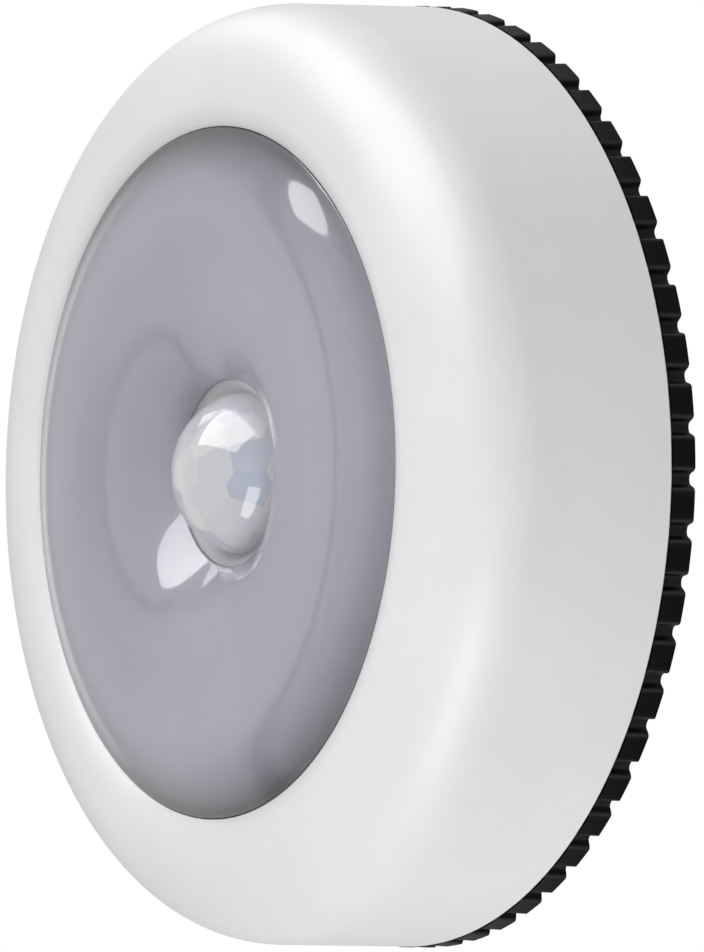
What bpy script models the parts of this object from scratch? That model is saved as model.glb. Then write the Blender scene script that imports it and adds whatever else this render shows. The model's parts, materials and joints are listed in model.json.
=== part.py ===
"""Sensor night light for a wall, in metres, +Z up.

The wall is the plane Y = 0 and the light looks along -Y. Every piece is drawn in the wall
frame: x to the right, y up and z forward from the wall, on the axis of the round body.
An empty stands that frame upright, so that its z becomes -Y in the world.
"""
import math

import bmesh
import bpy
from mathutils import Vector

# Clearances
clearance = 0.0003          # between pieces that rest on or pass by each other
solder_gap = 0.0002         # under the parts on the circuit board
overrun = 0.0004            # how far cuts run past a face and joined shapes run into it

# Battery cells, lying side by side in one plane, and their contacts
cell_radius = 0.00525
cell_length = 0.0434
cell_nub_radius = 0.0019
cell_nub_height = 0.0009
cell_chamfer = 0.0005
cell_count = 3
partition_thickness = 0.0008
partition_setback = 0.0037  # how far a partition ends short of the cells at each end
contact_thickness = 0.0004
contact_inset = 0.00095     # how much narrower than its cell a contact is, each side
tail_width = 0.002
spring_inset = 0.00235      # from the cell's side in to the middle of the spring's wire
spring_wire = 0.0005
spring_pitch = 0.0011
spring_turns = 3
spring_points = 9

# Battery tray
bay_wall = 0.0012
bay_room = 0.002777         # from the corners of the bay to the base's spigot
tray_floor = 0.0012
tray_skirt = 0.0016
pocket_wall = 0.001
pocket_room = 0.00255       # between the bay and the pockets beside it
tray_screw_radius = 0.0011
tray_screw_head_radius = 0.0019
tray_screw_head_height = 0.0013
tray_screw_head_room = 0.0005
tray_screw_length = 0.0062
tray_screw_slot_width = 0.0006
tray_screw_slot_depth = 0.0006

# Wall pad and base
pad_radius = 0.0245
pad_thickness = 0.001
pad_proud = 0.0005          # the pad stands out of the base by this much
base_thickness = 0.00204
rib_proud = 0.00017         # the ribs stand out past the bezel by this much
rib_count = 61
rib_phase = math.radians(0.75)
notch_depth = 0.00095
notch_top_width = 0.00164
notch_floor_width = 0.00088
rib_chamfer = 0.00022
spigot_wall = 0.0016
lug_reach = 0.0014
lug_thickness = 0.0014
lug_count = 3
lug_span = math.radians(20.0)
lug_play = math.radians(0.6)
stop_span = math.radians(4.0)
screw_hole_inset = 0.0013   # from the spigot in to the edge of a countersink
screw_hole_radius = 0.0021
screw_sink_radius = 0.0038
screw_sink_depth = 0.0011

# Bezel: a turned shell with a soft front corner that rolls in to the opening
bezel_wall = 0.0016
side_draft = 0.0006
corner_width = 0.00893
corner_height = 0.00799
corner_power = 2.1
face_width = 0.01187        # of the white ring, seen from the front
lip_drop = 0.00087
lip_thickness = 0.0015
boss_radius = 0.0025
boss_count = 3
boss_turn = math.radians(30.0)
boss_bite_share = 0.2       # share of the wall that a boss runs into

# Circuit board and what it carries
board_thickness = 0.001
led_count = 6
led_length = 0.0035
led_width = 0.0028
led_height = 0.0008
detector_radius = 0.00455
detector_rim = 0.0004
detector_rim_height = 0.0006
detector_height = 0.004
window_length = 0.004
window_width = 0.003
window_thickness = 0.0004
light_sensor_inset = 0.0037  # from the middle opening of the reflector
light_sensor_radius = 0.0015
light_sensor_height = 0.0022
capacitor_radius = 0.0025
capacitor_height = 0.007
capacitor_room = 0.0018     # between the chip and each capacitor
chip_length = 0.005
chip_width = 0.004
chip_height = 0.0015
switch_length = 0.0125
switch_width = 0.006
switch_height = 0.0055
switch_groove_depth = 0.0015
switch_travel = 0.002       # each way from the middle position
knob_width = 0.0024
knob_length = 0.003
knob_reach = 0.0043         # how far the knob stands out of the switch
knob_bevel = 0.0004

# Reflector, sensor lens and diffuser
reflector_floor = 0.0008
reflector_wall = 0.0012
reflector_height = 0.0026
lens_radius = 0.0074
lens_wall = 0.0008
lens_flange_reach = 0.001   # of the lens's flange under the diffuser
lens_flange = 0.00103
well_gap = 0.0007           # round the lens at the foot of its well
well_draft = 0.0004
well_round = 0.0004
funnel_width = 0.0127       # from the crest in to the well
funnel_bend = 0.0097        # the outer part of the funnel, where it bends over to the crest
funnel_slope = 0.625        # at the inner end of the bend
funnel_power = 3.0
throat_slope = 0.8          # at the well's edge
crest_rise = 0.00166        # of the crest past the bezel's lip
shoulder_slope = 1.4        # at the rim
shoulder_power = 4.2
diffuser_wall = 0.0012

# The bay that holds the cells
spring_height = spring_pitch * spring_turns + spring_wire
plate_end = clearance + contact_thickness + clearance
spring_end = plate_end + spring_height + clearance
bay_length = plate_end + cell_length + cell_nub_height + spring_end
bay_pitch = 2 * cell_radius + 2 * clearance + partition_thickness
bay_width = cell_count * bay_pitch - partition_thickness
bay_corner = math.hypot(bay_width / 2 + bay_wall, bay_length / 2 + bay_wall)
cell_shift = (spring_end - plate_end) / 2
partition_length = cell_length - 2 * partition_setback
contact_width = 2 * (cell_radius - contact_inset)
contact_height = contact_width
spring_radius = cell_radius - spring_inset

# Radii from the bay outwards, each worked out from the piece inside it
spigot_inner = bay_corner + bay_room
spigot_radius = spigot_inner + spigot_wall
tray_lug_radius = spigot_radius + clearance
base_lug_radius = spigot_radius + lug_reach
skirt_inner = base_lug_radius + clearance
tray_radius = skirt_inner + tray_skirt
bezel_radius = tray_radius + clearance + side_draft + bezel_wall
base_radius = bezel_radius + rib_proud
lip_radius = bezel_radius - face_width
boss_place = skirt_inner - tray_screw_head_room - tray_screw_head_radius
boss_hole = tray_screw_radius + clearance
board_radius = boss_place - boss_radius - clearance
screw_hole_place = spigot_inner - screw_hole_inset - screw_sink_radius
diffuser_rim = lip_radius - clearance

# Radii from the sensor lens outwards
well_foot = lens_radius + well_gap
well_radius = well_foot + well_draft
crest_radius = well_radius + funnel_width
skirt_radius = well_foot + diffuser_wall
lens_flange_radius = well_foot + lens_flange_reach
reflector_inner = max(skirt_radius, lens_flange_radius) + clearance
light_sensor_place = reflector_inner + light_sensor_inset
led_place = (reflector_inner + board_radius - reflector_wall) / 2
detector_rim_radius = detector_radius + detector_rim

# Places beside the bay
pocket_side = bay_width / 2 + bay_wall + pocket_room + pocket_wall + clearance
pocket_place = pocket_side + capacitor_radius
capacitor_place = chip_length / 2 + capacitor_room + capacitor_radius
switch_place = pocket_side + switch_width / 2

# Places along z, forward from the wall, each worked out from the piece behind it
base_rear = pad_proud
base_front = base_rear + base_thickness
pad_front = pad_thickness
pad_recess_floor = pad_front + clearance
lamp_rear = base_front + clearance
tray_lug_front = lamp_rear + lug_thickness
base_lug_rear = tray_lug_front + clearance
base_lug_front = base_lug_rear + lug_thickness
cell_rear = lamp_rear + solder_gap
cell_axis = cell_rear + cell_radius
tray_floor_rear = cell_axis + cell_radius + clearance
tray_floor_front = tray_floor_rear + tray_floor
board_rear = tray_floor_front + clearance
board_front = board_rear + board_thickness
parts_front = board_front + solder_gap
parts_rear = board_rear - solder_gap
reflector_rear = board_front + clearance
reflector_front = reflector_rear + reflector_floor
reflector_wall_front = reflector_rear + reflector_height
lens_flange_rear = board_front + clearance
lens_flange_front = lens_flange_rear + lens_flange
lens_centre = lens_flange_front
diffuser_rear = lens_flange_front + clearance
flange_rear = reflector_wall_front + clearance
flange_front = flange_rear + diffuser_wall
lip_rear = flange_front + clearance
lip_front = lip_rear + lip_thickness
crown = lip_front + lip_drop
side_top = crown - corner_height
crest = lip_front + crest_rise

# The slide switch
switch_rear = parts_rear - switch_height
knob_front = switch_rear + switch_groove_depth - clearance
knob_rear = switch_rear - knob_reach
knob_slot_length = knob_length + 2 * switch_travel + 2 * clearance
knob_slot_width = knob_width + 2 * clearance

# Pieces of a circle that the round shapes are made of
bezel_steps = 64
diffuser_steps = 56
tray_steps = 64
ring_steps = 48
lens_steps = 32
can_steps = 24
cell_steps = 20
small_steps = 16
corner_points = 7
roll_points = 3

palette = {
    "black_plastic": ((0.012, 0.012, 0.013), 0.42, 0.0),
    "white_plastic": ((0.80, 0.80, 0.79), 0.38, 0.0),
    "milky_plastic": ((0.50, 0.49, 0.54), 0.20, 0.0),
    "lens_plastic": ((0.60, 0.63, 0.64), 0.25, 0.0),
    "tray_plastic": ((0.70, 0.70, 0.69), 0.45, 0.0),
    "foam": ((0.55, 0.56, 0.56), 0.90, 0.0),
    "board_green": ((0.02, 0.16, 0.07), 0.45, 0.0),
    "nickel": ((0.62, 0.61, 0.58), 0.28, 1.0),
    "cell_jacket": ((0.05, 0.10, 0.20), 0.35, 0.0),
    "led_yellow": ((0.85, 0.72, 0.20), 0.35, 0.0),
    "chip_black": ((0.02, 0.02, 0.02), 0.55, 0.0),
    "dark_window": ((0.03, 0.02, 0.03), 0.15, 0.0),
    "clear_resin": ((0.70, 0.75, 0.80), 0.12, 0.0),
}


# Scene helpers

def clear_scene():
    """Removes whatever the open file holds."""
    for thing in list(bpy.data.objects):
        bpy.data.objects.remove(thing, do_unlink=True)


def new_collection(name):
    """Makes a collection under the scene's own."""
    group = bpy.data.collections.new(name)
    bpy.context.scene.collection.children.link(group)
    return group


def finish_of(key):
    """Gives the Principled material of a finish, made on first use."""
    found = bpy.data.materials.get(key)
    if found:
        return found
    colour, roughness, metallic = palette[key]
    material = bpy.data.materials.new(key)
    material.use_nodes = True
    shader = material.node_tree.nodes["Principled BSDF"]
    shader.inputs["Base Color"].default_value = (*colour, 1.0)
    shader.inputs["Roughness"].default_value = roughness
    shader.inputs["Metallic"].default_value = metallic
    return material


def empty(name, parent=None, location=(0, 0, 0)):
    """Adds an empty to the parts."""
    thing = bpy.data.objects.new(name, None)
    thing.parent = parent
    thing.location = location
    parts.objects.link(thing)
    return thing


def place(name, data, parent, finish=None, location=(0, 0, 0)):
    """Puts mesh or curve data in the scene, as a part with a finish or as a tool without one."""
    thing = bpy.data.objects.new(name, data)
    thing.parent = parent
    thing.location = location
    if finish:
        data.materials.append(finish_of(finish))
        parts.objects.link(thing)
        return thing
    thing.hide_render = True
    thing.display_type = "WIRE"
    tools.objects.link(thing)
    return thing


def smooth(mesh):
    """Shades a mesh smooth and keeps its real edges sharp."""
    mesh.shade_smooth()
    mesh.set_sharp_from_angle(angle=math.radians(32))


def boolean(part, tool, operation):
    """Joins a tool to a part or cuts it out, exactly."""
    step = part.modifiers.new(tool.name, "BOOLEAN")
    step.operation = operation
    step.object = tool
    step.solver = "EXACT"


def join(part, tool):
    """Joins a tool to a part."""
    boolean(part, tool, "UNION")


def cut(part, tool):
    """Cuts a tool out of a part."""
    boolean(part, tool, "DIFFERENCE")


# Shapes

def turned(name, outline, steps, parent, finish=None, closed=True, location=(0, 0, 0)):
    """Turns an outline of (radius, z) points about z. It runs down its outer side."""
    mesh = bpy.data.meshes.new(name)
    points = [(radius, 0, z) for radius, z in outline]
    edges = [(i, i + 1) for i in range(len(points) - 1)]
    if closed:
        edges.append((len(points) - 1, 0))
    mesh.from_pydata(points, edges, [])
    thing = place(name, mesh, parent, finish, location)
    screw = thing.modifiers.new("turn", "SCREW")
    screw.steps = steps
    screw.render_steps = steps
    screw.use_merge_vertices = True
    screw.merge_threshold = 0.00001
    screw.use_smooth_shade = True
    return thing


def ring(name, inner, outer, rear, front, steps, parent, finish=None):
    """A plain round ring between two radii."""
    outline = [(outer, front), (outer, rear), (inner, rear), (inner, front)]
    return turned(name, outline, steps, parent, finish)


def rod(name, radius, rear, front, steps, parent, finish=None, place_at=(0, 0)):
    """A round rod along z."""
    mesh = bpy.data.meshes.new(name)
    shape = bmesh.new()
    bmesh.ops.create_cone(shape, cap_ends=True, segments=steps, radius1=radius, radius2=radius,
                          depth=front - rear)
    shape.to_mesh(mesh)
    shape.free()
    smooth(mesh)
    return place(name, mesh, parent, finish, (*place_at, (rear + front) / 2))


def block(name, size, centre, parent, finish=None, bevel=0.0):
    """A box of a size about a centre, with its edges bevelled if asked."""
    mesh = bpy.data.meshes.new(name)
    shape = bmesh.new()
    bmesh.ops.create_cube(shape, size=1)
    bmesh.ops.scale(shape, vec=Vector(size), verts=shape.verts)
    if bevel:
        bmesh.ops.bevel(shape, geom=shape.edges[:], offset=bevel, offset_type="OFFSET",
                        segments=1, profile=0.5, affect="EDGES", material=-1)
    shape.to_mesh(mesh)
    shape.free()
    return place(name, mesh, parent, finish, centre)


def plate(name, outline, rear, front, parent, finish=None):
    """A flat outline of (x, y) points, filled and given its thickness, as a mesh."""
    curve = bpy.data.curves.new(name, "CURVE")
    curve.dimensions = "2D"
    curve.fill_mode = "BOTH"
    curve.extrude = (front - rear) / 2
    spline = curve.splines.new("POLY")
    spline.points.add(len(outline) - 1)
    for point, (x, y) in zip(spline.points, outline):
        point.co = (x, y, 0, 1)
    spline.use_cyclic_u = True
    drawn = bpy.data.objects.new(name + "_outline", curve)
    parts.objects.link(drawn)
    mesh = meshed(drawn)
    mesh.name = name
    return place(name, mesh, parent, finish, (0, 0, (rear + front) / 2))


def meshed(drawn):
    """Turns a curve object into a closed mesh and removes the curve."""
    bpy.context.view_layer.update()
    graph = bpy.context.evaluated_depsgraph_get()
    mesh = bpy.data.meshes.new_from_object(drawn.evaluated_get(graph))
    shape = bmesh.new()
    shape.from_mesh(mesh)
    bmesh.ops.remove_doubles(shape, verts=shape.verts, dist=0.000001)
    bmesh.ops.recalc_face_normals(shape, faces=shape.faces)
    shape.to_mesh(mesh)
    shape.free()
    bpy.data.objects.remove(drawn, do_unlink=True)
    return mesh


def sector(inner, outer, start, end, steps=6):
    """The outline of a piece of a ring, from one angle to another."""
    angles = [start + (end - start) * i / steps for i in range(steps + 1)]
    outside = [(outer * math.cos(a), outer * math.sin(a)) for a in angles]
    inside = [(inner * math.cos(a), inner * math.sin(a)) for a in reversed(angles)]
    return outside + inside


def around(count, radius, turn=0.0):
    """Places at even steps round a circle."""
    angles = [turn + 2 * math.pi * i / count for i in range(count)]
    return [(radius * math.cos(a), radius * math.sin(a)) for a in angles]


# Wall pad and base

def ribbed_outline():
    """The base's edge: flat-topped ribs between rounded notches."""
    outline = []
    floor = base_radius - notch_depth
    floor_half = notch_floor_width / 2 / floor
    side_half = notch_top_width / 2 / base_radius
    top_half = side_half + rib_chamfer / base_radius
    shelf = base_radius - rib_chamfer
    for i in range(rib_count):
        middle = rib_phase + 2 * math.pi * i / rib_count
        for radius, offset in ((base_radius, -top_half), (shelf, -side_half), (floor, -floor_half),
                               (floor, floor_half), (shelf, side_half), (base_radius, top_half)):
            angle = middle + offset
            outline.append((radius * math.cos(angle), radius * math.sin(angle)))
    return outline


def make_base():
    """The ribbed base with its spigot, bayonet lugs, pad recess and screw holes."""
    base = plate("base", ribbed_outline(), base_rear, base_front, stand, "black_plastic")
    spigot = ring("base_spigot", spigot_inner, spigot_radius, base_front - overrun,
                  base_lug_front, ring_steps, stand)
    join(base, spigot)
    for i in range(lug_count):
        middle = math.pi / 2 + 2 * math.pi * i / lug_count
        start = middle - lug_span / 2
        lug = plate(f"base_lug_{i + 1}", sector(spigot_radius - overrun, base_lug_radius, start,
                                                start + lug_span), base_lug_rear, base_lug_front, stand)
        join(base, lug)
        stop_end = start - lug_play
        stop = plate(f"base_stop_{i + 1}", sector(spigot_radius - overrun, base_lug_radius,
                                                  stop_end - stop_span, stop_end),
                     base_front - overrun, base_lug_front - overrun, stand)
        join(base, stop)
    recess = rod("pad_recess", pad_radius + clearance, base_rear - overrun, pad_recess_floor,
                 ring_steps, stand)
    cut(base, recess)
    for side in (-1, 1):
        outline = [(0, base_front + overrun), (screw_sink_radius, base_front + overrun),
                   (screw_sink_radius, base_front),
                   (screw_hole_radius, base_front - screw_sink_depth),
                   (screw_hole_radius, base_rear - overrun), (0, base_rear - overrun)]
        hole = turned(f"wall_screw_hole_{side}", outline, small_steps, stand, closed=False,
                      location=(side * screw_hole_place, 0, 0))
        cut(base, hole)
    rod("adhesive_pad", pad_radius, 0.0, pad_front, ring_steps, stand, "foam")


# Bezel

def bezel_curve(radius, front, lip):
    """Runs up the bezel's side, round its corner and in to the lip, as (radius, z) points."""
    top = radius - side_draft
    inset = (bezel_radius - radius)
    width = corner_width - inset
    points = [(radius, lamp_rear)]
    for i in range(corner_points + 1):
        angle = math.pi / 2 * i / corner_points
        out = max(math.cos(angle), 0.0) ** (2 / corner_power)
        rise = math.sin(angle) ** (2 / corner_power)
        points.append((top - width + width * out, side_top + (front - side_top) * rise))
    crown_radius = top - width
    for i in range(1, roll_points + 1):
        inward = i / roll_points
        points.append((crown_radius + (lip_radius - crown_radius) * inward,
                       front + (lip - front) * inward ** 2))
    return points


def inner_front_at(radius):
    """Depth of the bezel's inner face at a radius within its corner."""
    width = corner_width - bezel_wall
    start = bezel_radius - bezel_wall - side_draft - width
    out = min(max((radius - start) / width, 0.0), 1.0)
    rise = (1 - out ** corner_power) ** (1 / corner_power)
    return side_top + (crown - bezel_wall - side_top) * rise


def make_bezel():
    """The front shell with its three screw bosses."""
    outside = bezel_curve(bezel_radius, crown, lip_front)
    inside = bezel_curve(bezel_radius - bezel_wall, crown - bezel_wall, lip_rear)
    bezel = turned("bezel", outside[::-1] + inside, bezel_steps, lamp, "white_plastic")
    top = inner_front_at(boss_place) + bezel_wall * boss_bite_share
    for i, spot in enumerate(around(boss_count, boss_place, boss_turn)):
        boss = rod(f"screw_boss_{i + 1}", boss_radius, board_rear, top, small_steps, lamp,
                   place_at=spot)
        join(bezel, boss)
        hole = rod(f"screw_boss_hole_{i + 1}", boss_hole, board_rear - overrun,
                   tray_floor_rear + tray_screw_length - clearance, small_steps, lamp, place_at=spot)
        cut(bezel, hole)


# Diffuser, reflector and sensor lens

def diffuser_front_at(radius):
    """How far forward the diffuser's face lies at a radius, from the well out to its rim."""
    if radius >= crest_radius:
        shoulder = diffuser_rim - crest_radius
        share = (radius - crest_radius) / shoulder
        return crest - shoulder_slope * shoulder * share ** (shoulder_power + 1) / (shoulder_power + 1)
    share = min((crest_radius - radius) / funnel_bend, 1.0)
    bent = crest - funnel_slope * funnel_bend * share ** (funnel_power + 1) / (funnel_power + 1)
    throat = funnel_width - funnel_bend
    inside = max(crest_radius - funnel_bend - radius, 0.0)
    return bent - inside * (funnel_slope + (throat_slope - funnel_slope) * inside / throat / 2)


def diffuser_curve(start, end, count):
    """Points of the diffuser's face between two radii."""
    radii = [start + (end - start) * i / count for i in range(count + 1)]
    return [(radius, diffuser_front_at(radius)) for radius in radii]


def make_diffuser():
    """The milky ring: a crest, a trumpet funnel down to the well, and a shoulder out to the rim."""
    well_edge = diffuser_front_at(well_radius) - well_round
    face = [(well_foot, diffuser_rear), (well_radius, well_edge)]
    face += diffuser_curve(well_radius + well_round, crest_radius, 8)
    face += diffuser_curve(crest_radius, diffuser_rim, 7)[1:]
    rim_inner = diffuser_rim - diffuser_wall
    rear = diffuser_curve(rim_inner, crest_radius, 3) + diffuser_curve(crest_radius, skirt_radius, 5)[1:]
    back = [(board_radius, flange_front), (board_radius, flange_rear), (rim_inner, flange_rear)]
    back += [(radius, z - diffuser_wall) for radius, z in rear]
    back.append((skirt_radius, diffuser_rear))
    outline = back + face + [(diffuser_rim, flange_front)]
    turned("diffuser", outline, diffuser_steps, lamp, "milky_plastic")


def make_lens():
    """The domed sensor lens with the flange that holds it under the diffuser."""
    count = 7
    outline = []
    for i in range(count + 1):
        angle = math.pi / 2 * i / count
        outline.append((lens_radius * math.sin(angle), lens_centre + lens_radius * math.cos(angle)))
    outline[0] = (0, lens_centre + lens_radius)
    outline += [(lens_flange_radius, lens_flange_front), (lens_flange_radius, lens_flange_rear)]
    inner = lens_radius - lens_wall
    outline.append((inner, lens_flange_rear))
    for i in range(count + 1):
        angle = math.pi / 2 * (1 - i / count)
        outline.append((inner * math.sin(angle), lens_centre + inner * math.cos(angle)))
    outline[-1] = (0, lens_centre + inner)
    turned("sensor_lens", outline, lens_steps, lamp, "lens_plastic", closed=False)


def make_reflector():
    """The white dish on the board, with a window for each light and for the light sensor."""
    outline = [(board_radius, reflector_wall_front), (board_radius, reflector_rear),
               (reflector_inner, reflector_rear), (reflector_inner, reflector_front),
               (board_radius - reflector_wall, reflector_front),
               (board_radius - reflector_wall, reflector_wall_front)]
    dish = turned("reflector", outline, ring_steps, lamp, "white_plastic")
    height = reflector_floor + 2 * overrun
    middle = (reflector_rear + reflector_front) / 2
    for i, (x, y) in enumerate(around(led_count, led_place, math.pi / led_count)):
        opening = block(f"led_opening_{i + 1}",
                        (led_length + 2 * clearance, led_width + 2 * clearance, height),
                        (x, y, middle), lamp)
        opening.rotation_euler.z = math.atan2(y, x) + math.pi / 2
        cut(dish, opening)
    hole = rod("light_sensor_hole", light_sensor_radius + clearance, reflector_rear - overrun,
               reflector_front + overrun, small_steps, lamp, place_at=(0, -light_sensor_place))
    cut(dish, hole)


# Circuit board

def make_board():
    """The round board with the parts on its front and rear faces."""
    rod("circuit_board", board_radius, board_rear, board_front, ring_steps, lamp, "board_green")
    for i, (x, y) in enumerate(around(led_count, led_place, math.pi / led_count)):
        led = block(f"led_{i + 1}", (led_length, led_width, led_height),
                    (x, y, parts_front + led_height / 2), lamp, "led_yellow")
        led.rotation_euler.z = math.atan2(y, x) + math.pi / 2
    outline = [(0, parts_front + detector_height), (detector_radius, parts_front + detector_height),
               (detector_radius, parts_front + detector_rim_height),
               (detector_rim_radius, parts_front + detector_rim_height),
               (detector_rim_radius, parts_front), (0, parts_front)]
    can = turned("motion_detector", outline, can_steps, lamp, "nickel", closed=False)
    pocket_depth = window_thickness + clearance
    front = parts_front + detector_height
    pocket = block("window_pocket", (window_length + 2 * clearance, window_width + 2 * clearance,
                                     pocket_depth + overrun),
                   (0, 0, front + (overrun - pocket_depth) / 2), lamp)
    cut(can, pocket)
    block("detector_window", (window_length, window_width, window_thickness),
          (0, 0, front - window_thickness / 2), lamp, "dark_window")
    tip = parts_front + light_sensor_height
    shoulder = tip - light_sensor_radius
    outline = [(0, tip)]
    for i in range(1, 5):
        angle = math.pi / 2 * i / 4
        outline.append((light_sensor_radius * math.sin(angle),
                        shoulder + light_sensor_radius * math.cos(angle)))
    outline += [(light_sensor_radius, parts_front), (0, parts_front)]
    turned("light_sensor", outline, small_steps, lamp, "clear_resin", closed=False,
           location=(0, -light_sensor_place, 0))
    for i, side in enumerate((-1, 1)):
        rod(f"capacitor_{i + 1}", capacitor_radius, parts_rear - capacitor_height, parts_rear,
            small_steps, lamp, "chip_black", place_at=(-pocket_place, side * capacitor_place))
    block("control_chip", (chip_width, chip_length, chip_height),
          (-pocket_place, 0, parts_rear - chip_height / 2), lamp, "chip_black")


def make_switch():
    """The three-position slide switch on the board's rear face, and its knob."""
    body = block("mode_switch", (switch_width, switch_length, switch_height),
                 (switch_place, 0, parts_rear - switch_height / 2), lamp, "nickel")
    groove = block("switch_groove", (knob_slot_width, knob_slot_length,
                                     switch_groove_depth + overrun),
                   (switch_place, 0, switch_rear + (switch_groove_depth - overrun) / 2), lamp)
    cut(body, groove)
    middle = (knob_rear + knob_front) / 2
    slide = empty("switch_slide", lamp, (switch_place, 0, middle))
    block("switch_knob", (knob_width, knob_length, knob_front - knob_rear), (0, 0, 0), slide,
          "black_plastic", bevel=knob_bevel)


# Battery tray

def hollow_box(tray, name, centre, inner, rear, wall, closed_rear):
    """Joins an open-fronted box to the tray's floor and cuts its inside out through the floor."""
    width = inner[0] + 2 * wall
    length = inner[1] + 2 * wall
    front = tray_floor_rear + overrun
    shell = block(name + "_walls", (width, length, front - rear),
                  (*centre, (rear + front) / 2), lamp)
    join(tray, shell)
    inside_rear = rear + wall if closed_rear else rear - overrun
    inside_front = tray_floor_front + overrun if closed_rear else tray_floor_rear
    hollow = block(name + "_inside", (*inner, inside_front - inside_rear),
                   (*centre, (inside_rear + inside_front) / 2), lamp)
    cut(tray, hollow)


def make_tray():
    """The tray that holds the cells, with its skirt, bayonet lugs, pockets and screw holes."""
    outline = [(0, tray_floor_front), (tray_radius, tray_floor_front), (tray_radius, lamp_rear),
               (skirt_inner, lamp_rear), (skirt_inner, tray_floor_rear), (0, tray_floor_rear)]
    tray = turned("battery_tray", outline, tray_steps, lamp, "tray_plastic", closed=False)
    for i in range(lug_count):
        middle = math.pi / 2 + 2 * math.pi * i / lug_count
        outline = sector(tray_lug_radius, skirt_inner + overrun, middle - lug_span / 2,
                         middle + lug_span / 2)
        lug = plate(f"tray_lug_{i + 1}", outline, lamp_rear + overrun / 2, tray_lug_front, lamp)
        join(tray, lug)
    hollow_box(tray, "bay", (0, 0), (bay_width, bay_length), lamp_rear, bay_wall, False)
    for side in (-1, 1):
        wall = block(f"partition_{side}", (partition_thickness, partition_length,
                                           cell_radius + 2 * clearance),
                     (side * bay_pitch / 2, 0,
                      tray_floor_rear + overrun / 2 - cell_radius / 2), lamp)
        join(tray, wall)
    pocket_length = 2 * (capacitor_place + capacitor_radius + clearance)
    pocket_width = 2 * (capacitor_radius + clearance)
    hollow_box(tray, "component_pocket", (-pocket_place, 0), (pocket_width, pocket_length),
               parts_rear - capacitor_height - clearance - pocket_wall, pocket_wall, True)
    hollow_box(tray, "switch_pocket", (switch_place, 0),
               (switch_width + 2 * clearance, switch_length + 2 * clearance),
               switch_rear - clearance - pocket_wall, pocket_wall, True)
    slot = block("knob_slot", (knob_slot_width, knob_slot_length, pocket_wall + 2 * overrun),
                 (switch_place, 0, switch_rear - clearance - pocket_wall / 2), lamp)
    cut(tray, slot)
    for i, spot in enumerate(around(boss_count, boss_place, boss_turn)):
        hole = rod(f"tray_screw_hole_{i + 1}", boss_hole, tray_floor_rear - overrun,
                   tray_floor_front + overrun, small_steps, lamp, place_at=spot)
        cut(tray, hole)
    for index, end in ((0, 1), (cell_count - 1, -1)):
        opening = block(f"tail_slot_{index + 1}",
                        (tail_width + 2 * clearance, contact_thickness + 2 * clearance,
                         tray_floor + 2 * overrun),
                        (cell_x(index), end * (bay_length / 2 - clearance - contact_thickness / 2),
                         (tray_floor_rear + tray_floor_front) / 2), lamp)
        cut(tray, opening)


def make_screws():
    """The screws that hold the tray to the bezel's bosses, each with a slot across its head."""
    head_front = tray_floor_rear - clearance
    head_rear = head_front - tray_screw_head_height
    for i, spot in enumerate(around(boss_count, boss_place, boss_turn)):
        outline = [(0, head_rear + tray_screw_head_height + tray_screw_length),
                   (tray_screw_radius, head_rear + tray_screw_head_height + tray_screw_length),
                   (tray_screw_radius, head_front), (tray_screw_head_radius, head_front),
                   (tray_screw_head_radius, head_rear), (0, head_rear)]
        screw = turned(f"tray_screw_{i + 1}", outline, small_steps, lamp, "nickel",
                       closed=False, location=(*spot, 0))
        slot = block(f"tray_screw_slot_{i + 1}",
                     (2 * tray_screw_head_radius + 2 * overrun, tray_screw_slot_width,
                      tray_screw_slot_depth + overrun),
                     (*spot, head_rear + (tray_screw_slot_depth - overrun) / 2), lamp)
        cut(screw, slot)


# Cells and contacts

def cell_x(index):
    """Where a cell lies across the bay."""
    return (index - (cell_count - 1) / 2) * bay_pitch


def cell_end(index):
    """The end that a cell's positive nub points to: up for the first, then by turns."""
    return 1 if index % 2 == 0 else -1


def make_cells():
    """The cells, each turned about its own axis and laid along y."""
    for index in range(cell_count):
        half = (cell_length + cell_nub_height) / 2
        body = half - cell_nub_height
        outline = [(0, half), (cell_nub_radius, half), (cell_nub_radius, body),
                   (cell_radius - cell_chamfer, body), (cell_radius, body - cell_chamfer),
                   (cell_radius, cell_chamfer - half), (cell_radius - cell_chamfer, -half),
                   (0, -half)]
        end = cell_end(index)
        cell = turned(f"battery_{index + 1}", outline, cell_steps, lamp, "cell_jacket", closed=False,
                      location=(cell_x(index), end * cell_shift, cell_axis))
        cell.rotation_euler.x = -end * math.pi / 2


def contact(name, first, last, end, tail):
    """A contact strip across one or two cells at one end of the bay, with a tail if asked."""
    left = cell_x(first) - contact_width / 2
    right = cell_x(last) + contact_width / 2
    y = end * (bay_length / 2 - clearance - contact_thickness / 2)
    strip = block(name, (right - left, contact_thickness, contact_height),
                  ((left + right) / 2, y, cell_axis), lamp, "nickel")
    if tail:
        start = cell_axis + contact_height / 2 - overrun
        pin = block(name + "_tail", (tail_width, contact_thickness, parts_rear - start),
                    ((left + right) / 2, y, (start + parts_rear) / 2), lamp)
        join(strip, pin)


def spring_route():
    """The points of one coil spring, along y from its contact towards its cell."""
    count = spring_turns * spring_points
    route = []
    for i in range(count + 1):
        angle = 2 * math.pi * i / spring_points
        route.append((spring_radius * math.cos(angle), spring_pitch * i / spring_points,
                      spring_radius * math.sin(angle)))
    return route


def least_gap(route):
    """The least distance between the wire and itself, measured on points a turn apart."""
    gaps = []
    for i in range(len(route)):
        for j in range(i + spring_points // 2, len(route)):
            gaps.append((Vector(route[i]) - Vector(route[j])).length - spring_wire)
    return min(gaps)


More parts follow.
